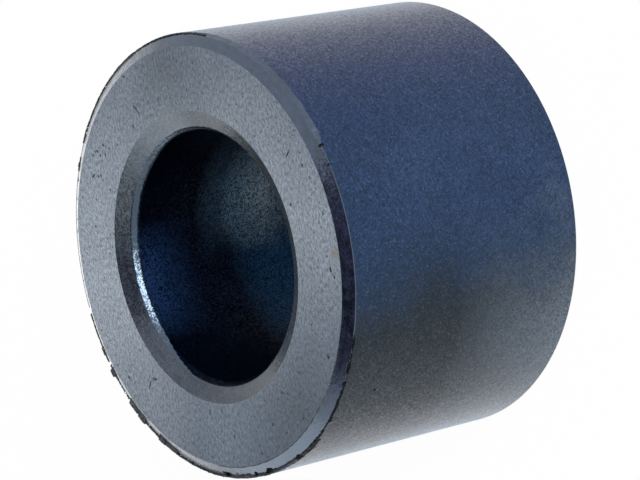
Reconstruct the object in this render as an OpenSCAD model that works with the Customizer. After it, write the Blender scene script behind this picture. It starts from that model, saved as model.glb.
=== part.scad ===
// Ferrite ring core: one dry-pressed and sintered ring, standing on a ground end face.
// The bore's axis is +Z, the origin is the centre of the lower end face,
// and the chipped end is the upper one.

/* [Ring] */
// Outside diameter of the ring
ring_d = 17.5; // [16:0.1:24]
// Diameter of the bore between its two mouths
bore_d = 9.9; // [6:0.1:11]
// Length from one ground end face to the other
ring_l = 11.9; // [6:0.1:30]

/* [Outer edges] */
// Width of the pressed chamfer round each end face
edge_w = 0.5; // [0.3:0.05:0.8]
// Slope of the pressed chamfer, from the plane of the end face
edge_slope = 30; // [20:1:45]
// Width of the narrow flat land between the chamfer and the barrel
land_w = 0.05; // [0.02:0.01:0.15]

/* [Bore mouths] */
// Width of the chamfer at each mouth of the bore
mouth_w = 0.8; // [0.5:0.05:1.2]
// Slope of the mouth's chamfer, from the plane of the end face
mouth_slope = 28; // [20:1:40]
// Radius that rounds the mouth's chamfer into the bore
mouth_blend = 0.35; // [0.1:0.05:0.5]

/* [Chipped edge] */
// Angle at which the chips bite into the edge, up from level
chip_rise = 25; // [10:5:60]
// Height of the pressing flash that still stands at the chamfer's end
flash_h = 0.08; // [0.03:0.01:0.15]
// Width of the flash, in from the barrel
flash_w = 0.25; // [0.15:0.05:0.3]
// How far in from the barrel the worn stretch of edge reaches
wear_w = 0.12; // [0.06:0.02:0.2]
// How far down the barrel the worn stretch reaches
wear_h = 0.1; // [0.04:0.02:0.2]

/* [Hidden] */

ferrite_color = [0.17, 0.21, 0.29];

ring_r = ring_d / 2;
bore_r = bore_d / 2;
edge_h = (edge_w - land_w) * tan(edge_slope);
mouth_h = mouth_w * tan(mouth_slope);

// Each chip on the upper outer edge: its angle round the ring in degrees,
// then its width along the edge and its depth in millimetres
CHIPS = [
    [62, 0.5, 0.07], [75, 0.3, 0.05], [98, 0.5, 0.09],
    [113, 0.5, 0.10], [120, 0.4, 0.06], [124, 0.6, 0.08],
    [137, 0.5, 0.08], [141, 0.4, 0.08], [150, 0.5, 0.05],
    [157, 0.6, 0.06], [165, 0.5, 0.06], [170, 1.0, 0.16],
    [175, 1.2, 0.20], [181, 0.9, 0.14], [186, 1.3, 0.22],
    [192, 1.1, 0.18], [197, 0.9, 0.14], [202, 1.3, 0.22],
    [208, 1.0, 0.17], [213, 0.7, 0.08], [217, 0.5, 0.12],
    [222, 0.8, 0.09], [227, 0.9, 0.10], [232, 0.8, 0.09],
    [236, 0.5, 0.07], [287, 0.3, 0.04], [291, 0.5, 0.11]
];

// Each stretch of flash that is left: where it starts and ends, and its share of the full height
FLASH = [
    [99, 108, 0.3], [108.4, 111, 0.6], [115, 118.3, 1.1],
    [118.7, 126, 0.3], [126.4, 135, 1.0], [135.4, 140.8, 0.3],
    [141.2, 147.4, 0.9], [147.8, 167, 0.5]
];

// Where the worn stretch of edge starts and ends, round the ring in degrees
WORN = [293, 345];

// Lower end of the ring's section, from the bore wall out to the barrel
function end_outline() = [
    [bore_r, mouth_h],
    [bore_r + mouth_w, 0],
    [ring_r - edge_w, 0],
    [ring_r - land_w, edge_h],
    [ring_r, edge_h]
];

// The same points for the upper end, in the order that closes the section
function upper_end(points) = [
    for (i = [len(points) - 1 : -1 : 0]) [points[i][0], ring_l - points[i][1]]
];

// What the blend radius takes off the corner between the mouth and the bore
module blend_waste() {
    overshoot = 0.2;
    run_up = mouth_blend * tan((90 - mouth_slope) / 2);
    center = [bore_r + mouth_blend, mouth_h + run_up];
    on_chamfer = center - mouth_blend * [sin(mouth_slope), cos(mouth_slope)];
    difference() {
        polygon([
            center,
            [bore_r - overshoot, center[1]],
            [bore_r - overshoot, mouth_h - overshoot],
            on_chamfer - overshoot * [sin(mouth_slope), cos(mouth_slope)]
        ]);
        translate(center) circle(r = mouth_blend, $fn = 48);
    }
}

// Half of the ring cut along its axis, in the plane of radius and height
module ring_section() {
    difference() {
        polygon(concat(end_outline(), upper_end(end_outline())));
        blend_waste();
        translate([0, ring_l]) mirror([0, 1]) blend_waste();
    }
}

// One shell-shaped bite out of the corner between the chamfer and the barrel
module edge_chip(angle, width, depth) {
    bite_r = (width * width / 4 + depth * depth) / (2 * depth);
    reach = bite_r - depth;
    rotate([0, 0, angle])
        translate([
            ring_r + reach * cos(chip_rise),
            0,
            ring_l - edge_h + reach * sin(chip_rise)
        ])
            sphere(r = bite_r, $fn = 32);
}

// Height of the upper chamfer's surface at a radius
function chamfer_z(radius) = ring_l - (radius - (ring_r - edge_w)) * tan(edge_slope);

// A ridge of flash along part of the edge, standing where the punch met the die
module flash_ridge(start, stop, share) {
    foot = ring_r - flash_w;
    root = 0.15;
    outside = ring_r - 0.4 * land_w;
    tip_z = ring_l - edge_h + share * flash_h;
    rotate([0, 0, start])
        rotate_extrude(angle = stop - start, $fn = 180)
            polygon([
                [foot, chamfer_z(foot) - root],
                [foot, chamfer_z(foot)],
                [ring_r - land_w, tip_z],
                [outside, tip_z],
                [outside, ring_l - edge_h - root]
            ]);
}

// What handling has rubbed off the edge along the worn stretch: a second, steeper chamfer
module worn_stretch() {
    overshoot = 0.15;
    upper = [ring_r - wear_w, chamfer_z(ring_r - wear_w)];
    lower = [ring_r, ring_l - edge_h - wear_h];
    run = (lower - upper) / norm(lower - upper);
    above = upper - overshoot * run;
    below = lower + overshoot * run;
    rotate([0, 0, WORN[0]])
        rotate_extrude(angle = WORN[1] - WORN[0], $fn = 180)
            polygon([above, below, [below[0], above[1]]]);
}

module core() {
    color(ferrite_color)
        difference() {
            union() {
                rotate_extrude($fn = 180) ring_section();
                for (ridge = FLASH) flash_ridge(ridge[0], ridge[1], ridge[2]);
            }
            worn_stretch();
            for (chip = CHIPS) edge_chip(chip[0], chip[1], chip[2]);
        }
}

core();
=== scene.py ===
import math
import random

import bpy
from mathutils import Matrix, Quaternion, Vector


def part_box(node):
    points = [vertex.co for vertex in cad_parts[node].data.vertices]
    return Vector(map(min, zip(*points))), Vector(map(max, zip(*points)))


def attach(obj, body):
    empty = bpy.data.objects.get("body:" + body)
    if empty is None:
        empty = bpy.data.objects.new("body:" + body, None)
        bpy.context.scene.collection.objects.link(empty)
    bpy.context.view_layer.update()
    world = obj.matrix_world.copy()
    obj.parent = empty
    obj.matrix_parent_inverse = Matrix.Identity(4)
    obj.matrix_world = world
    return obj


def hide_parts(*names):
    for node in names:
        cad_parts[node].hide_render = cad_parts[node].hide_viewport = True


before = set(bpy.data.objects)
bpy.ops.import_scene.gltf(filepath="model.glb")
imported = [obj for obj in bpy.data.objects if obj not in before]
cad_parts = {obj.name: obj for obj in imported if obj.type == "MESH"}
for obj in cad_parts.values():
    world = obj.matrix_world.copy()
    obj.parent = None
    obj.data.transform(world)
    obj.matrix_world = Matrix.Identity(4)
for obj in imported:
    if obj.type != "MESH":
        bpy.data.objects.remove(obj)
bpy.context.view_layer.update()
mm = 0.001


# The pressed blank. The real ring is ferrite powder pressed in a die between two punches and fired,
# so each end has a punch chamfer outside and a blended mouth inside.
# Here the section is walked out point by point from the bore wall, then turned round the axis.
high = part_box("core")[1]
ring_radius = high.x
ring_length = high.z
bore_radius = 4.95 * mm
mouth_width = 0.80 * mm
mouth_slope = math.radians(28)
mouth_blend = 0.35 * mm
edge_width = 0.50 * mm
edge_slope = math.radians(30)
land_width = 0.05 * mm
turn_steps = 480

mouth_depth = mouth_width * math.tan(mouth_slope)
blend_rise = mouth_blend * math.tan((math.pi / 2 - mouth_slope) / 2)
lip_width = 0.5 * mouth_blend
edge_depth = (edge_width - land_width) * math.tan(edge_slope)


def along(start, end, steps):
    """Evenly spaced points from start to end, without start."""
    return [start.lerp(end, i / steps) for i in range(1, steps + 1)]


def end_points(fine):
    """One end of the section as (radius, depth below the end face), from bore to barrel.

    The lip's arc is walked in shares of its turn. Its middle is worn a little flatter."""
    wall = Vector((bore_radius, mouth_depth + blend_rise))
    centre = Vector((bore_radius + mouth_blend, wall.y))
    points = [wall]
    for share, steps in [(0.065, 1), (0.13, 1), (0.26, 1), (0.87, 3 * fine), (0.935, 1), (1.0, 1)]:
        turn = (math.pi / 2 - mouth_slope) * share
        on_arc = centre - mouth_blend * Vector((math.cos(turn), math.sin(turn)))
        points += along(points[-1], on_arc, steps)
    mouth_rim = Vector((bore_radius + mouth_width, 0))
    edge_rim = Vector((ring_radius - edge_width, 0))
    land = Vector((ring_radius - land_width, edge_depth))
    barrel = Vector((ring_radius, edge_depth))
    points += along(points[-1], mouth_rim, 3 * fine)
    points += along(mouth_rim, edge_rim, 5 * fine)
    points += along(edge_rim, land, 3 * fine)
    points += along(land, barrel, 1)
    return points


def section_points():
    """The closed section, from the top of the bore wall out, down the barrel and back."""
    top = [Vector((p.x, ring_length - p.y)) for p in end_points(2)]
    bottom = [Vector((p.x, p.y)) for p in reversed(end_points(1))]
    shoulder = top[-1] - Vector((0, 1.2 * mm))
    points = top + along(top[-1], shoulder, 8)
    points += along(shoulder, bottom[0], 8) + bottom[1:]
    points += along(bottom[-1], top[0], 8)
    return points


def start_at(point):
    """A plane shrunk to one point, ready to be walked along a section."""
    bpy.ops.object.select_all(action="DESELECT")
    bpy.ops.mesh.primitive_plane_add(size=mm, location=(point.x, 0, point.y))
    piece = bpy.context.object
    bpy.ops.object.transform_apply(location=True, rotation=True, scale=True)
    bpy.ops.object.mode_set(mode="EDIT")
    bpy.ops.mesh.select_all(action="SELECT")
    bpy.ops.mesh.merge(type="CENTER")
    return piece


def walk_along(points):
    """Draws the section of a turned piece by extruding one point along it."""
    piece = start_at(points[0])
    for here, there in zip(points, points[1:]):
        step = there - here
        bpy.ops.mesh.extrude_region_move(TRANSFORM_OT_translate={"value": (step.x, 0, step.y)})
    bpy.ops.mesh.select_all(action="SELECT")
    bpy.ops.mesh.remove_doubles(threshold=0.0005 * mm)
    return piece


ring = walk_along(section_points())
ring.name = "ferrite_ring"
bpy.ops.mesh.spin(steps=turn_steps, angle=math.tau, center=(0, 0, 0), axis=(0, 0, 1))
bpy.ops.mesh.select_all(action="SELECT")
bpy.ops.mesh.remove_doubles(threshold=0.0005 * mm)
bpy.ops.mesh.normals_make_consistent(inside=False)
bpy.ops.object.mode_set(mode="OBJECT")


# The finishes. What the die and the punches pressed comes out of the kiln satin and blue-black, with
# a sparkle of fine crystals. The end faces are ground flat afterwards, pale, matt and full of pores.
# Where the ring has chipped, the break is dark and granular.
def node(tree, kind, **settings):
    """A new node, with its own settings and its unlinked inputs filled in."""
    made = tree.nodes.new(kind)
    for name, value in settings.items():
        if hasattr(made, name):
            setattr(made, name, value)
        else:
            made.inputs[name.replace("_", " ")].default_value = value
    return made


def link(tree, source, output, target, name):
    """Joins one node's output to another's input."""
    tree.links.new(source.outputs[output], target.inputs[name])


def noise(tree, place, size, detail=4.0, rough=0.55, stretch=(1, 1, 1)):
    """Cloudy noise whose features are about that many metres across, drawn out by stretch."""
    spread = node(tree, "ShaderNodeMapping")
    spread.inputs["Scale"].default_value = [1 / s for s in stretch]
    cloud = node(tree, "ShaderNodeTexNoise", Scale=1 / size, Detail=detail, Roughness=rough)
    link(tree, place, "Object", spread, "Vector")
    link(tree, spread, "Vector", cloud, "Vector")
    return cloud


def ramp(tree, source, output, stops):
    """A colour ramp through given stops, each (position, colour)."""
    band = node(tree, "ShaderNodeValToRGB")
    marks = band.color_ramp.elements
    while len(marks) < len(stops):
        marks.new(0.5)
    for mark, (position, colour) in zip(marks, stops):
        mark.position = position
        mark.color = (*colour, 1)
    link(tree, source, output, band, "Fac")
    return band


def level(tree, source, output, low_in, high_in, low_out=0.0, high_out=1.0):
    """A number moved from one range to another and held inside it."""
    band = node(tree, "ShaderNodeMapRange")
    for name, value in zip(("From Min", "From Max", "To Min", "To Max"),
                           (low_in, high_in, low_out, high_out)):
        band.inputs[name].default_value = value
    link(tree, source, output, band, "Value")
    return band


def mixed(tree, blend, factor, first, second):
    """Two colours mixed. Factor is a number, or a node whose first output gives it."""
    mix = node(tree, "ShaderNodeMix", data_type="RGBA", blend_type=blend)
    if isinstance(factor, (int, float)):
        mix.inputs[0].default_value = factor
    else:
        tree.links.new(factor.outputs[0], mix.inputs[0])
    for slot, source in ((6, first), (7, second)):
        if isinstance(source, tuple):
            mix.inputs[slot].default_value = (*source, 1)
        else:
            tree.links.new(source, mix.inputs[slot])
    return mix.outputs[2]


def math_of(tree, operation, first, second):
    """A sum, product or the like of two numbers or of two nodes' first outputs."""
    sum_node = node(tree, "ShaderNodeMath", operation=operation)
    for slot, source in enumerate((first, second)):
        if isinstance(source, (int, float)):
            sum_node.inputs[slot].default_value = source
        else:
            tree.links.new(source.outputs[0], sum_node.inputs[slot])
    return sum_node


def new_finish(name):
    """An empty material, its node tree, its shader and its object coordinates."""
    material = bpy.data.materials.new(name)
    material.use_nodes = True
    tree = material.node_tree
    return material, tree, tree.nodes["Principled BSDF"], node(tree, "ShaderNodeTexCoord")


def crystal_sparkle(tree, place, shader, tone, glint_tone, lean, bump_by,
                    size=0.065 * mm, spread=0.75):
    """Tiny crystal facets over a tone: each is a little lighter or darker and leans its own way."""
    facets = node(tree, "ShaderNodeTexVoronoi", Scale=1 / size)
    link(tree, place, "Object", facets, "Vector")
    pick = node(tree, "ShaderNodeSeparateColor")
    link(tree, facets, "Color", pick, "Color")
    bright = level(tree, pick, "Red", 0.0, 1.0, 1 - spread, 1 + spread)
    toned = mixed(tree, "MULTIPLY", 1.0, tone, bright.outputs["Result"])
    glint = level(tree, pick, "Green", 0.80, 1.0, 0.0, 1.0)
    toned = mixed(tree, "ADD", glint, toned, glint_tone)
    tree.links.new(toned, shader.inputs["Base Color"])
    aside = node(tree, "ShaderNodeVectorMath", operation="SUBTRACT")
    aside.inputs[1].default_value = (0.5, 0.5, 0.5)
    link(tree, facets, "Color", aside, 0)
    lean_by = node(tree, "ShaderNodeVectorMath", operation="SCALE", Scale=lean)
    link(tree, aside, "Vector", lean_by, 0)
    surface = node(tree, "ShaderNodeNewGeometry")
    facing = node(tree, "ShaderNodeVectorMath", operation="ADD")
    link(tree, surface, "Normal", facing, 0)
    link(tree, lean_by, "Vector", facing, 1)
    straight = node(tree, "ShaderNodeVectorMath", operation="NORMALIZE")
    link(tree, facing, "Vector", straight, 0)
    skin = noise(tree, place, 0.25 * mm, detail=5, rough=0.6)
    bump = node(tree, "ShaderNodeBump", Strength=bump_by, Distance=0.02 * mm)
    link(tree, skin, "Fac", bump, "Height")
    link(tree, straight, "Vector", bump, "Normal")
    link(tree, bump, "Normal", shader, "Normal")


def across(tree, place, angle):
    """How far a point lies from the ring's axis in that direction, as a share of the ring's radius."""
    turn = math.radians(angle)
    reach = node(tree, "ShaderNodeVectorMath", operation="DOT_PRODUCT")
    reach.inputs[1].default_value = (math.cos(turn), math.sin(turn), 0)
    link(tree, place, "Object", reach, 0)
    share = node(tree, "ShaderNodeMath", operation="DIVIDE")
    link(tree, reach, "Value", share, 0)
    share.inputs[1].default_value = ring_radius
    return share


def die_skin():
    """The barrel: navy, with painted reflections dark on one side and pale at its lower end, painted shade
    and painted sheen.
    """
    material, tree, shader, place = new_finish("die_skin")
    drift = noise(tree, place, 5.0 * mm, detail=3)
    wander = level(tree, drift, "Fac", 0.3, 0.7, -0.18, 0.18)
    side = math_of(tree, "ADD", across(tree, place, 180), wander)
    navy = ramp(tree, drift, "Fac", [(0.35, (0.004, 0.013, 0.041)), (0.65, (0.007, 0.018, 0.052))])
    # Painted reflection: the barrel is near black on one side, standing in for dark surroundings mirrored
    # there.
    painted_dark_reflection = level(tree, side, "Value", 0.08, 0.46)
    tone = mixed(tree, "MIX", painted_dark_reflection, navy.outputs["Color"], (0.001, 0.001, 0.001))
    height = node(tree, "ShaderNodeSeparateXYZ")
    link(tree, place, "Object", height, "Vector")
    # Painted reflection: lighter towards the lower end on that side, standing in for the bright table
    # mirrored there.
    low_end = level(tree, height, "Z", 6.5 * mm, 0.5 * mm)
    painted_pale_reflection = math_of(tree, "MULTIPLY", low_end, level(tree, side, "Value", 0.0, 0.7))
    tone = mixed(tree, "MIX", painted_pale_reflection, tone, (0.082, 0.100, 0.126))
    # Painted shade: the barrel is darker on the side facing +X.
    shaded = level(tree, across(tree, place, 0), "Value", 0.30, 0.65, 0.0, 0.9)
    tone = mixed(tree, "MIX", shaded, tone, (0.0002, 0.005, 0.038))
    # Painted sheen: near the sides at 180 and 0 degrees the barrel is painted lighter, standing in for the
    # bright room mirrored at grazing view.
    for angle, first, edge_sheen_tone in [(180, 0.78, (0.180, 0.205, 0.245)), (0, 0.85, (0.105, 0.135, 0.185))]:
        painted_edge_sheen = level(tree, across(tree, place, angle), "Value", first, 1.0)
        tone = mixed(tree, "MIX", math_of(tree, "MULTIPLY", painted_edge_sheen, painted_edge_sheen), tone, edge_sheen_tone)
    crystal_sparkle(tree, place, shader, tone, (0.016, 0.022, 0.034), 0.20, 0.14, 0.06 * mm, 0.6)
    shader.inputs["Roughness"].default_value = 0.28
    shader.inputs["IOR"].default_value = 1.55
    shader.inputs["Specular Tint"].default_value = (0.30, 0.50, 0.72, 1)
    shader.inputs["Sheen Weight"].default_value = 0.55
    shader.inputs["Sheen Roughness"].default_value = 0.13
    shader.inputs["Sheen Tint"].default_value = (0.42, 0.68, 1.0, 1)
    return material


def bore_skin():
    """The bore, drawn along the core rod: almost black, with painted light near the lip and towards the far
    end, and a painted pale reflection deep down one side.
    """
    material, tree, shader, place = new_finish("bore_skin")
    drift = noise(tree, place, 1.5 * mm, detail=4)
    ink = ramp(tree, drift, "Fac", [(0.35, (0.0001, 0.0003, 0.0012)),
                                    (0.65, (0.0003, 0.0008, 0.0034))])
    height = node(tree, "ShaderNodeSeparateXYZ")
    link(tree, place, "Object", height, "Vector")
    # Painted light: a blue glow near the lip on the side the key lamp reaches.
    by_the_lip = level(tree, height, "Z", ring_length - 3.2 * mm, ring_length - 0.9 * mm)
    lit_side = level(tree, across(tree, place, 97), "Value", 0.49, 0.565)
    tone = mixed(tree, "MIX", math_of(tree, "MULTIPLY", by_the_lip, lit_side), ink.outputs["Color"],
                 (0.005, 0.015, 0.045))
    # Painted reflection: deep down on one side the wall is painted pale, standing in for the bright table
    # seen through the far opening.
    wander = level(tree, drift, "Fac", 0.3, 0.7, -0.03, 0.03)
    side = math_of(tree, "ADD", across(tree, place, 42), wander)
    facing = level(tree, side, "Value", 0.35, 0.56)
    facing = math_of(tree, "MULTIPLY", facing, facing)
    deep = level(tree, height, "Z", ring_length - 3.4 * mm, ring_length - 8.0 * mm)
    painted_pale_reflection = ramp(tree, deep, "Result", [(0.0, (0, 0, 0)), (0.28, (0.022, 0.048, 0.078)),
                                        (0.50, (0.115, 0.200, 0.270)), (0.85, (0.480, 0.620, 0.680))])
    painted_pale_reflection = mixed(tree, "MIX", facing, (0.0, 0.0, 0.0), painted_pale_reflection.outputs["Color"])
    tone = mixed(tree, "ADD", 1.0, tone, painted_pale_reflection)
    # Painted light: bluer and lighter towards the far end.
    far_end = level(tree, height, "Z", ring_length - 5.0 * mm, ring_length - 9.5 * mm)
    tone = mixed(tree, "ADD", far_end, tone, (0.012, 0.060, 0.140))
    crystal_sparkle(tree, place, shader, tone, (0.001, 0.004, 0.012), 0.30, 0.2, 0.05 * mm, 0.95)
    shader.inputs["Roughness"].default_value = 0.32
    shader.inputs["IOR"].default_value = 1.18
    shader.inputs["Specular Tint"].default_value = (0.03, 0.26, 0.92, 1)
    return material


def square_of(tree, part, name):
    """The square of one coordinate."""
    square = node(tree, "ShaderNodeMath", operation="MULTIPLY")
    link(tree, part, name, square, 0)
    link(tree, part, name, square, 1)
    return square


def ring_lines(tree, place, width):
    """Wavy lines drawn out round the ring, about that many metres apart."""
    waves_a_radian = 2.4
    part = node(tree, "ShaderNodeSeparateXYZ")
    link(tree, place, "Object", part, "Vector")
    squares = math_of(tree, "ADD", square_of(tree, part, "X"), square_of(tree, part, "Y"))
    out = math_of(tree, "SQRT", squares, 0)
    turn = node(tree, "ShaderNodeMath", operation="ARCTAN2")
    link(tree, part, "Y", turn, 0)
    link(tree, part, "X", turn, 1)
    flat_ring = node(tree, "ShaderNodeCombineXYZ")
    link(tree, math_of(tree, "MULTIPLY", out, 1 / width), 0, flat_ring, "X")
    link(tree, math_of(tree, "MULTIPLY", turn, waves_a_radian), 0, flat_ring, "Y")
    lines = node(tree, "ShaderNodeTexNoise", Scale=1.0, Detail=3.0, Roughness=0.6)
    link(tree, flat_ring, "Vector", lines, "Vector")
    return lines


def mouth_skin():
    """The rounded lip between the mouth and the bore: dark blue, glossy and finely ridged, with painted
    sheen on one side.
    """
    material, tree, shader, place = new_finish("mouth_skin")
    lines = ring_lines(tree, place, 0.09 * mm)
    ink = ramp(tree, lines, "Fac", [(0.40, (0.0005, 0.0012, 0.004)), (0.62, (0.003, 0.006, 0.014))])
    painted_sheen_tone = ramp(tree, lines, "Fac", [(0.40, (0.010, 0.013, 0.018)), (0.60, (0.060, 0.070, 0.082))])
    # Painted sheen: the lip is lighter towards one side.
    painted_sheen = level(tree, across(tree, place, 325), "Value", 0.02, 0.36)
    tone = mixed(tree, "MIX", painted_sheen, ink.outputs["Color"], painted_sheen_tone.outputs["Color"])
    crystal_sparkle(tree, place, shader, tone, (0.006, 0.013, 0.028), 0.28, 0.25, 0.05 * mm)
    shader.inputs["Roughness"].default_value = 0.28
    shader.inputs["IOR"].default_value = 2.05
    shader.inputs["Specular Tint"].default_value = (0.56, 0.76, 1.0, 1)
    return material


def punch_skin(name, gloss, tint, ink, slate, painted_sheen_from, painted_sheen):
    """A chamfer pressed by a punch: dark and the shiniest of all, with painted sheen lighter on one side.
    """
    material, tree, shader, place = new_finish(name)
    lines = ring_lines(tree, place, 0.25 * mm)
    cloud = noise(tree, place, 0.35 * mm, detail=5, rough=0.65)
    patchy = math_of(tree, "MULTIPLY", math_of(tree, "ADD", lines, cloud), 0.5)
    pressed = ramp(tree, patchy, "Value", [(0.40, ink), (0.60, slate)])
    # Painted sheen: one side is mixed towards a lighter tone.
    angle, first, last = painted_sheen_from
    painted_sheen_share = level(tree, across(tree, place, angle), "Value", first, last, 0.0, 0.85)
    tone = mixed(tree, "MIX", painted_sheen_share, pressed.outputs["Color"], painted_sheen)
    crystal_sparkle(tree, place, shader, tone, (0.004, 0.006, 0.012), 0.05, 0.10, 0.06 * mm, 0.6)
    shader.inputs["Roughness"].default_value = 0.19
    shader.inputs["IOR"].default_value = gloss
    shader.inputs["Specular Tint"].default_value = (*tint, 1)
    return material


def ground_skin():
    """The ground end faces: pale, with a straight lay, fine grain and open pores, and painted sheen and
    light by direction.
    """
    material, tree, shader, place = new_finish("ground_skin")
    drift = noise(tree, place, 3.0 * mm, detail=5)
    wander = level(tree, drift, "Fac", 0.3, 0.7, -0.14, 0.14)
    # Painted sheen and light: the face is darker away from a line through the axis at 6 degrees and lighter
    # towards 54 degrees.
    painted_sheen_streak = math_of(tree, "ABSOLUTE", math_of(tree, "ADD", across(tree, place, 6), wander), 0)
    painted_sheen = math_of(tree, "MULTIPLY", painted_sheen_streak, -0.69)
    painted_light_tilt = math_of(tree, "MULTIPLY", across(tree, place, 54), 0.24)
    shade = math_of(tree, "ADD", math_of(tree, "ADD", painted_sheen, painted_light_tilt), 0.84)
    tone = ramp(tree, shade, "Value", [(0.0, (0.060, 0.082, 0.114)), (0.25, (0.090, 0.117, 0.154)),
                                       (1.0, (0.278, 0.322, 0.376))])
    faded = tone.outputs["Color"]
    for x, y, reach, dark in [(7.3, 0.1, 2.8, 0.70), (-5.9, -4.3, 2.8, 0.76),
                              (-7.2, 0.5, 2.8, 1.30), (3.4, 6.2, 2.6, 1.14)]:
        cloud = node(tree, "ShaderNodeVectorMath", operation="DISTANCE")
        cloud.inputs[1].default_value = (x * mm, y * mm, ring_length)
        link(tree, place, "Object", cloud, 0)
        dimmed = level(tree, cloud, "Value", 0.0, reach * mm, dark, 1.0)
        faded = mixed(tree, "MULTIPLY", 1.0, faded, dimmed.outputs["Result"])
    grain = noise(tree, place, 0.10 * mm, detail=5, rough=0.85, stretch=(1.8, 1, 1))
    speck = level(tree, grain, "Fac", 0.31, 0.69, 0.05, 1.90)
    toned = mixed(tree, "MULTIPLY", 1.0, faded, speck.outputs["Result"])
    for spacing, size, depth in [(0.50 * mm, 0.13, 0.30), (0.30 * mm, 0.16, 0.50)]:
        pores = node(tree, "ShaderNodeTexVoronoi", Scale=1 / spacing)
        link(tree, place, "Object", pores, "Vector")
        hole = level(tree, pores, "Distance", 0.5 * size, size, depth, 1.0)
        toned = mixed(tree, "MULTIPLY", 1.0, toned, hole.outputs["Result"])
    stain = node(tree, "ShaderNodeVectorMath", operation="DISTANCE")
    stain.inputs[1].default_value = (-0.81 * mm, -8.0 * mm, ring_length)
    link(tree, place, "Object", stain, 0)
    rust = level(tree, stain, "Value", 0.36 * mm, 0.08 * mm, 0.0, 0.6)
    toned = mixed(tree, "MIX", rust, toned, (0.15, 0.14, 0.09))
    tree.links.new(toned, shader.inputs["Base Color"])
    bump = node(tree, "ShaderNodeBump", Strength=0.6, Distance=0.02 * mm)
    link(tree, grain, "Fac", bump, "Height")
    link(tree, bump, "Normal", shader, "Normal")
    shader.inputs["Roughness"].default_value = 0.6
    shader.inputs["IOR"].default_value = 1.5
    return material


def broken_skin(name, dark, light, gloss):
    """A break or a pit: dark grey, granular and matt, with a few bright grains."""
    material, tree, shader, place = new_finish(name)
    drift = noise(tree, place, 0.25 * mm, detail=5, rough=0.7)
    coal = ramp(tree, drift, "Fac", [(0.35, (0.8 * dark, dark, 1.2 * dark)),
                                     (0.62, (0.9 * light, light, 1.2 * light)),
                                     (0.80, (4 * light, 4 * light, 4.2 * light))])
    glint = 0.5 * dark + 0.5 * light
    crystal_sparkle(tree, place, shader, coal.outputs["Color"], (glint, 1.1 * glint, 1.3 * glint), 0.5, 0.6)
    shader.inputs["Roughness"].default_value = 0.5
    shader.inputs["IOR"].default_value = gloss
    shader.inputs["Specular Tint"].default_value = (0.6, 0.8, 1.0, 1)
    return material


# For each punch skin the last two values give where its painted sheen lies and its colour.
skins = [die_skin(), bore_skin(), mouth_skin(),
         punch_skin("mouth_chamfer_skin", 1.70, (0.68, 0.82, 1.0), (0.012, 0.015, 0.023),
                    (0.028, 0.033, 0.045), (325, -0.32, -0.06), (0.068, 0.082, 0.094)),
         punch_skin("edge_chamfer_skin", 2.08, (0.60, 0.78, 1.0), (0.0005, 0.001, 0.003),
                    (0.014, 0.015, 0.034), (90, 0.02, 0.46), (0.320, 0.330, 0.350)),
         ground_skin(), broken_skin("flash_skin", 0.010, 0.034, 1.35),
         broken_skin("break_skin", 0.001, 0.005, 1.20), broken_skin("pit_skin", 0.020, 0.070, 1.35)]
die, bore, mouth, mouth_chamfer, edge_chamfer, flat, flash, broken, pit = range(len(skins))
bright_edge = skins[edge_chamfer].node_tree.nodes["Principled BSDF"]
bright_edge.inputs["Sheen Weight"].default_value = 1.0
bright_edge.inputs["Sheen Roughness"].default_value = 0.22


def give_skins(piece, choose):
    """Puts every skin in a piece's slots, then picks one for each face."""
    for skin in skins:
        piece.data.materials.append(skin)
    for face in piece.data.polygons:
        face.material_index = choose(face)


def skin_of(face):
    """Which skin a face of the untouched blank has. Part of the lip gets the near-black bore skin, as
    painted shade.
    """
    radius = math.hypot(face.center.x, face.center.y)
    depth = min(face.center.z, ring_length - face.center.z)
    if depth < 0.001 * mm:
        return flat
    if depth > edge_depth and radius > ring_radius - 0.01 * mm:
        return die
    if depth > mouth_depth + blend_rise:
        return bore
    if radius < bore_radius + lip_width:
        turn = math.degrees(math.atan2(face.center.y, face.center.x)) % 360
        # Painted shade: on this side the lip takes the bore's near-black skin.
        painted_shade_from = 138 - 24 * (depth - mouth_depth) / blend_rise
        painted_shade_to = 207
        return bore if painted_shade_from < turn < painted_shade_to else mouth
    if radius < bore_radius + mouth_width:
        return mouth_chamfer
    return edge_chamfer


give_skins(ring, skin_of)


# The chipped edge. Pressing leaves a thin flash where the punch meets the die, and fired ferrite is
# as brittle as glass, so parts of the flash and of the edge have snapped off in flakes.
# The flash is a rough strip swept along the edge; flakes and spalls are cut by rough blunt tools.
def rough_grain(name, size):
    """A cloudy texture for displacing a tool's surface, with grains of that size."""
    texture = bpy.data.textures.new(name, "CLOUDS")
    texture.noise_scale = size
    texture.noise_depth = 3
    return texture


coarse_grain = rough_grain("coarse_grain", 0.30 * mm)
fine_grain = rough_grain("fine_grain", 0.10 * mm)


def apply_step(piece, step):
    """Makes one modifier of a piece final."""
    bpy.ops.object.select_all(action="DESELECT")
    piece.select_set(True)
    bpy.context.view_layer.objects.active = piece
    bpy.ops.object.modifier_apply(modifier=step.name)


def roughen(piece, texture, height):
    """Pushes a tool's surface in and out by up to half that height."""
    bump = piece.modifiers.new("rough", "DISPLACE")
    bump.texture = texture
    bump.texture_coords = "LOCAL"
    bump.strength = height
    bump.mid_level = 0.5
    apply_step(piece, bump)


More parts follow.
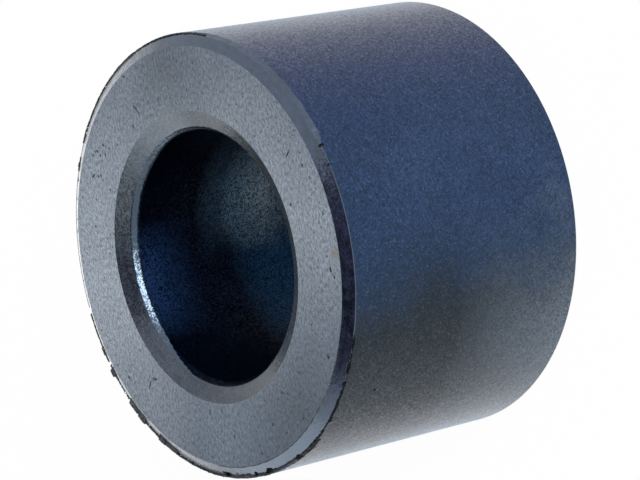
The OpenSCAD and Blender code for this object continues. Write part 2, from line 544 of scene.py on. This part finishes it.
def rim_strip(outline, from_angle, to_angle, spacing, skin):
    """A closed outline of (radius, height above the end face), swept along part of the edge."""
    corners = [Vector((r, ring_length + up)) for r, up in outline]
    points = [corners[0]]
    for here, there in zip(corners, corners[1:] + corners[:1]):
        points += along(here, there, max(1, round((there - here).length / spacing)))
    strip = walk_along(points)
    turn = math.radians(to_angle - from_angle)
    steps = max(4, round(turn * ring_radius / spacing))
    bpy.ops.mesh.edge_face_add()
    bpy.ops.mesh.spin(steps=steps, angle=turn, center=(0, 0, 0), axis=(0, 0, 1))
    bpy.ops.mesh.select_all(action="SELECT")
    bpy.ops.mesh.remove_doubles(threshold=0.0005 * mm)
    bpy.ops.mesh.normals_make_consistent(inside=False)
    start = Matrix.Rotation(math.radians(to_angle), 4, "Z")
    bpy.ops.object.mode_set(mode="OBJECT")
    strip.data.transform(start)
    give_skins(strip, lambda face: skin)
    return strip


def combine(piece, tool, operation):
    """Joins a strip to the ring, or cuts the ring with a tool, which is then thrown away."""
    step = piece.modifiers.new("combine", "BOOLEAN")
    step.operation = operation
    step.solver = "MANIFOLD"
    step.object = tool
    apply_step(piece, step)
    bpy.data.objects.remove(tool)


def chamfer_height(radius):
    """Height of the upper chamfer's surface above the end face, which is below zero."""
    return -(radius - (ring_radius - edge_width)) * math.tan(edge_slope)


def blunt_tool(place, crosswise, outward, half, fine, rough, skin):
    """A rough egg of half sizes (crosswise, along, outward), for one flake or pit."""
    tangent = outward.cross(crosswise)
    facing = Matrix((crosswise, tangent, outward)).transposed().to_euler()
    bpy.ops.object.select_all(action="DESELECT")
    bpy.ops.mesh.primitive_ico_sphere_add(subdivisions=fine, radius=1, location=place,
                                          rotation=facing, scale=half)
    tool = bpy.context.object
    bpy.ops.object.transform_apply(location=True, rotation=True, scale=True)
    roughen(tool, fine_grain, rough)
    give_skins(tool, lambda face: skin)
    return tool


def flake_tool(angle, width, drop, depth, rise, inset, fine=3):
    """The tool for one flake of the edge, wide along it and drop tall, tipped up by rise."""
    turn = math.radians(angle)
    tip = math.radians(rise)
    out = Vector((math.cos(turn), math.sin(turn), 0))
    outward = out * math.cos(tip) + Vector((0, 0, math.sin(tip)))
    crosswise = out * math.sin(tip) - Vector((0, 0, math.cos(tip)))
    place = out * (ring_radius - inset * mm)
    place.z = ring_length - edge_depth + max(0, inset - 0.05) * mm * math.tan(edge_slope)
    half = (drop / 2 * mm, width / 2 * mm, depth * mm)
    rough = 0.25 * depth * mm + 0.01 * mm
    return blunt_tool(place, crosswise, outward, half, fine, rough, broken)


def cut_all(tools, groups):
    """Cuts the ring with many tools, in groups whose members lie clear of each other."""
    for first in range(groups):
        share = tools[first::groups]
        bpy.ops.object.select_all(action="DESELECT")
        for tool in share:
            tool.select_set(True)
        bpy.context.view_layer.objects.active = share[0]
        bpy.ops.object.join()
        combine(ring, bpy.context.object, "DIFFERENCE")


def break_tool(from_angle, to_angle, inner, drop, skin, coarse, fine, fade):
    """The tool that breaks or wears the corner off, from inner on the chamfer to drop on the barrel.

    Over the fade, in degrees, each end rises out of the corner."""
    lift = 0.25 * mm
    upper = Vector((inner * mm, chamfer_height(inner * mm)))
    lower = Vector((ring_radius, -drop * mm))
    above = upper - 0.4 * (lower - upper)
    below = lower + 0.4 * (lower - upper)
    beyond = ring_radius + 0.4 * mm
    outline = [above, below, (beyond, below.y), (beyond, above.y)]
    strip = rim_strip(outline, from_angle, to_angle, 0.05 * mm, skin)
    for point in strip.data.vertices:
        turn = math.degrees(math.atan2(point.co.y, point.co.x)) % 360
        share = max(0, min(1, (turn - from_angle) / fade, (to_angle - turn) / fade))
        rise = lift * (1 - math.sin(share * math.pi / 2))
        out = math.radians(turn)
        point.co += Vector((rise * math.cos(out), rise * math.sin(out), rise))
    roughen(strip, coarse_grain, coarse * mm)
    roughen(strip, fine_grain, fine * mm)
    return strip


# The worn stretch, then each stretch of broken edge: (from, to, inner radius, drop down the barrel).
combine(ring, break_tool(287, 350, 8.64, 0.42, edge_chamfer, 0.04, 0.015, 8), "DIFFERENCE")
for stretch in [(167.0, 176.2, 8.58, 0.28), (174.8, 182.4, 8.60, 0.28), (180.6, 187.0, 8.61, 0.42),
                (184.8, 194.2, 8.61, 0.50), (192.0, 201.4, 8.65, 0.50), (199.2, 211.6, 8.685, 0.50),
                (209.4, 218.2, 8.70, 0.32), (216.0, 220.2, 8.69, 0.42), (218.0, 232.0, 8.695, 0.32),
                (229.8, 245.0, 8.695, 0.31)]:
    skin = flash if stretch[0] < 190 else broken
    combine(ring, break_tool(*stretch, skin, 0.10, 0.05, 1.5), "DIFFERENCE")

# Each stretch of flash is (from, to, inner foot, height above the edge, root, reach, skin). Its crest
# is a narrow top that droops outwards.
crest_width = 0.035 * mm
crest_droop = 0.01 * mm
flash_runs = [(-17.0, 14.0, 8.69, 0.05, 0.48, 8.735, flash), (13.8, 36.0, 8.68, 0.06, 0.48, 8.74, flash),
              (35.8, 50.5, 8.66, 0.07, 0.48, 8.73, flash),
              (54.8, 58.8, 8.60, 0.05, 0.48, 8.73, flash), (56.4, 57.6, 8.58, 0.08, 0.48, 8.73, flash),
              (98.4, 113.2, 8.60, 0.05, 0.48, 8.73, flash), (108.6, 110.9, 8.48, 0.09, 0.48, 8.73, flash),
              (114.2, 119.2, 8.46, 0.06, 0.48, 8.73, flash), (115.6, 117.6, 8.36, 0.16, 0.48, 8.73, flash),
              (119.0, 126.6, 8.62, 0.05, 0.48, 8.73, flash), (126.4, 130.4, 8.35, 0.14, 0.48, 8.73, flash),
              (129.6, 131.6, 8.38, 0.11, 0.48, 8.73, flash), (131.2, 134.4, 8.35, 0.17, 0.48, 8.73, flash),
              (134.2, 141.4, 8.66, 0.08, 0.48, 8.74, flash), (141.2, 143.9, 8.42, 0.16, 0.48, 8.74, flash),
              (143.7, 149.2, 8.48, 0.12, 0.48, 8.74, flash), (149.0, 168.6, 8.69, 0.09, 0.48, 8.76, flash),
              (168.4, 176.2, 8.60, 0.10, 0.36, 8.74, flash), (175.8, 186.4, 8.62, 0.10, 0.36, 8.74, flash),
              (186.0, 200.2, 8.64, 0.12, 0.36, 8.76, flash), (200.0, 211.0, 8.68, 0.05, 0.36, 8.74, broken)]
for start, stop, foot, height, root, reach, skin in flash_runs:
    inner = foot * mm
    tip = height * mm - edge_depth
    outline = [(inner, chamfer_height(inner)), (reach * mm - crest_width, tip),
               (reach * mm, tip - crest_droop), (reach * mm, -root * mm), (inner, -root * mm)]
    strip = rim_strip(outline, start, stop, 0.045 * mm, skin)
    roughen(strip, coarse_grain, 0.04 * mm)
    roughen(strip, fine_grain, 0.03 * mm)
    combine(ring, strip, "UNION")

# Each flake is (angle, width along the edge, height down it, depth, rise, inset from the barrel).
flakes = [(61.4, 0.25, 0.25, 0.06, 50, 0.10), (66.3, 0.12, 0.12, 0.04, 50, 0.30),
          (72.2, 0.14, 0.14, 0.04, 50, 0.35), (75.6, 0.20, 0.25, 0.06, 50, 0.25),
          (78.1, 0.12, 0.12, 0.04, 50, 0.30), (89.5, 0.14, 0.14, 0.04, 50, 0.2),
          (97.9, 0.3, 0.4, 0.10, 40, 0.05), (113.4, 0.2, 0.2, 0.06, 45, 0.05),
          (123.0, 0.2, 0.2, 0.04, 45, 0.05), (140.6, 0.15, 0.2, 0.05, 45, 0.05),
          (171.0, 0.5, 0.4, 0.07, 45, 0.10), (182.6, 0.25, 0.45, 0.07, 45, 0.10),
          (188.4, 0.5, 0.6, 0.09, 40, 0.08), (201.2, 0.35, 0.6, 0.07, 25, 0.04),
          (286.3, 0.12, 0.25, 0.04, 35, 0.06),
          (291.5, 0.13, 0.36, 0.05, 35, 0.06)]
cut_all([flake_tool(*flake) for flake in flakes], 3)

# Small nicks all along the flash and the edge, and the worn line between the chamfer and the face.
random.seed(11)
nicks = []
for start, stop, count in [(-14, 50, 40), (99, 210, 70)]:
    for i in range(count):
        angle = start + (stop - start) * (i + random.random()) / count
        width = random.uniform(0.06, 0.20)
        nicks.append((angle, width, random.uniform(0.06, 0.16), 0.3 * width, 45, 0.03, 2))
cut_all([flake_tool(*nick) for nick in nicks], 3)
rim = ring_radius - edge_width
worn_line = rim_strip([(rim - 0.02 * mm, 0.02 * mm), (rim, -0.010 * mm),
                       (rim + 0.03 * mm, -0.024 * mm), (rim + 0.06 * mm, 0.02 * mm)],
                      168, 240, 0.03 * mm, pit)
roughen(worn_line, coarse_grain, 0.03 * mm)
roughen(worn_line, fine_grain, 0.02 * mm)
combine(ring, worn_line, "DIFFERENCE")


# The marks on the ground face: pits left by pores that the grinding opened, and a few short cracks.
# Each is (x, y, length, width, direction), in millimetres and degrees.
marks = [(6.39, 0.85, 0.20, 0.10, 10), (6.24, 2.37, 0.56, 0.09, 37), (5.65, 2.81, 0.14, 0.12, 0),
         (5.24, 5.07, 0.14, 0.10, 0), (5.04, 5.53, 0.18, 0.12, 60), (4.86, 5.40, 0.14, 0.10, 20),
         (4.83, 5.05, 0.18, 0.10, 0), (5.04, 5.71, 0.12, 0.09, 0), (4.12, 6.14, 0.32, 0.09, -60),
         (4.07, 5.82, 0.12, 0.10, 0), (4.07, 5.62, 0.14, 0.08, 0), (3.43, 5.18, 0.12, 0.10, 0),
         (2.11, 6.70, 0.13, 0.12, 0), (7.62, 2.78, 0.16, 0.12, 0), (6.47, -1.10, 0.12, 0.08, 0),
         (-4.15, 6.48, 0.15, 0.12, 0), (-4.55, 5.14, 0.44, 0.10, -37), (-4.36, 4.74, 0.34, 0.13, 77),
         (-5.97, 1.52, 0.26, 0.12, 10), (-5.97, 0.76, 0.18, 0.08, 0), (-5.59, -3.24, 0.18, 0.08, 0),
         (-6.45, -3.99, 0.22, 0.10, 0), (-6.62, -4.24, 0.26, 0.12, -20), (-6.75, -4.08, 0.12, 0.08, 0),
         (-6.76, -2.28, 0.14, 0.12, 0), (-7.51, -1.17, 0.20, 0.08, 0), (-7.80, -1.25, 0.14, 0.12, 0),
         (-7.74, 1.94, 0.13, 0.10, 0), (-6.77, 1.01, 0.14, 0.08, 0), (-7.05, 0.28, 0.18, 0.09, 0),
         (-1.36, -7.55, 0.22, 0.12, 0), (-1.65, -7.69, 0.14, 0.12, 0), (-4.51, -6.41, 0.22, 0.16, 0),
         (3.17, -6.43, 0.42, 0.08, -49), (2.62, -7.12, 0.16, 0.12, 0), (1.30, -6.00, 0.14, 0.12, 0),
         (0.72, -7.75, 0.18, 0.10, 0)]


def pit_tool(x, y, length, width, direction):
    """The tool for one pit or crack in the upper face."""
    turn = math.radians(direction)
    crosswise = Vector((-math.sin(turn), math.cos(turn), 0))
    half = (width / 2 * mm, length / 2 * mm, 0.025 * mm)
    place = Vector((x * mm, y * mm, ring_length))
    return blunt_tool(place, crosswise, Vector((0, 0, 1)), half, 2, 0.05 * mm, pit)


cut_all([pit_tool(*mark) for mark in marks], 2)

# One pock in the barrel, just below the broken edge.
pock_turn = math.radians(225.5)
pock_out = Vector((math.cos(pock_turn), math.sin(pock_turn), 0))
pock_place = pock_out * ring_radius + Vector((0, 0, ring_length - edge_depth - 1.75 * mm))
pock_half = [0.06 * mm] * 3
pock = blunt_tool(pock_place, Vector((0, 0, 1)), pock_out, pock_half, 2, 0.02 * mm, broken)
combine(ring, pock, "DIFFERENCE")

bpy.ops.object.shade_smooth_by_angle(angle=math.radians(24))
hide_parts("core")
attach(ring, "root")


# The table top that the ring stands on.
bpy.ops.object.select_all(action="DESELECT")
bpy.ops.mesh.primitive_plane_add(size=4.0, location=(0, 0, 0))
table_top = bpy.context.object
table_top.name = "table_top"
pale = bpy.data.materials.new("pale_table")
pale.use_nodes = True
sheet = pale.node_tree
matt = sheet.nodes["Principled BSDF"]
matt.inputs["Base Color"].default_value = (0.86, 0.86, 0.86, 1)
matt.inputs["Roughness"].default_value = 0.9


def seen_directly(tree, unseen, seen):
    """One level for rays that only gather light, another for what is seen or mirrored."""
    path = node(tree, "ShaderNodeLightPath")
    shown = node(tree, "ShaderNodeMath", operation="ADD")
    link(tree, path, "Is Camera Ray", shown, 0)
    link(tree, path, "Is Glossy Ray", shown, 1)
    shown_all = node(tree, "ShaderNodeMath", operation="ADD", use_clamp=True)
    link(tree, shown, "Value", shown_all, 0)
    link(tree, path, "Is Transmission Ray", shown_all, 1)
    return level(tree, shown_all, "Value", 0, 1, unseen, seen)


white_share = seen_directly(sheet, 0.0, 0.97)
white = node(sheet, "ShaderNodeEmission", Strength=1.0)
blend = node(sheet, "ShaderNodeMixShader")
link(sheet, white_share, "Result", blend, 0)
link(sheet, matt, 0, blend, 1)
link(sheet, white, 0, blend, 2)
link(sheet, blend, 0, sheet.nodes["Material Output"], "Surface")
table_top.data.materials.append(pale)

# The camera looks down on the chipped end from 39 degrees up, rolled onto its side.
view_rise = math.radians(38.99)
view_distance = 117.4 * mm
view_roll = math.radians(-101.37)
view_target = Vector((-0.212 * mm, -0.185 * mm, ring_length - 5.749 * mm))
toward_camera = Vector((0, -math.cos(view_rise), math.sin(view_rise)))
camera_data = bpy.data.cameras.new("camera")
camera_data.sensor_width = 36
camera_data.lens = 165.4
camera_data.clip_start = 0.005
camera_data.clip_end = 10
camera = bpy.data.objects.new("camera", camera_data)
bpy.context.collection.objects.link(camera)
camera.location = view_target + view_distance * toward_camera
camera.rotation_mode = "QUATERNION"
upright = (-toward_camera).to_track_quat("-Z", "Y")
camera.rotation_quaternion = upright @ Quaternion((0, 0, 1), view_roll)
bpy.context.scene.camera = camera

# The light: a white room that is bright in reflections, one large soft lamp beside the camera, a
# weaker one behind on the left, and a dark panel overhead. The panel keeps the chamfer that looks up
# and the bore's mouth dark.
world = bpy.data.worlds.new("studio")
bpy.context.scene.world = world
world.use_nodes = True
room = world.node_tree
glow = seen_directly(room, 0.55, 1.0)
link(room, glow, "Result", room.nodes["Background"], "Strength")
room.nodes["Background"].inputs["Color"].default_value = (1, 1, 1, 1)


def soft_lamp(name, toward, distance, size, power):
    """An area lamp of that width and height that looks at the ring from that direction."""
    lamp = bpy.data.lights.new(name, "AREA")
    lamp.shape = "RECTANGLE"
    lamp.size = size[0]
    lamp.size_y = size[1]
    lamp.energy = power
    stand = bpy.data.objects.new(name, lamp)
    bpy.context.collection.objects.link(stand)
    toward = Vector(toward).normalized()
    stand.location = Vector((0, 0, ring_length / 2)) + toward * distance
    stand.rotation_mode = "QUATERNION"
    stand.rotation_quaternion = (-toward).to_track_quat("-Z", "Y")


soft_lamp("key_lamp", (0.27, -0.82, 0.50), 0.5, (0.25, 0.25), 3.0)
soft_lamp("left_lamp", (-0.63, 0.61, 0.46), 0.6, (0.35, 0.35), 0.38)

bpy.ops.object.select_all(action="DESELECT")
bpy.ops.mesh.primitive_circle_add(vertices=64, radius=0.33, fill_type="NGON",
                                  location=(-0.16, -0.05, 0.6))
panel = bpy.context.object
panel.name = "dark_panel"
dark = bpy.data.materials.new("dark_panel")
dark.use_nodes = True
dark.node_tree.nodes["Principled BSDF"].inputs["Base Color"].default_value = (0.02, 0.02, 0.03, 1)
dark.node_tree.nodes["Principled BSDF"].inputs["Roughness"].default_value = 0.9
panel.data.materials.append(dark)
bpy.context.scene.view_settings.view_transform = "Standard"
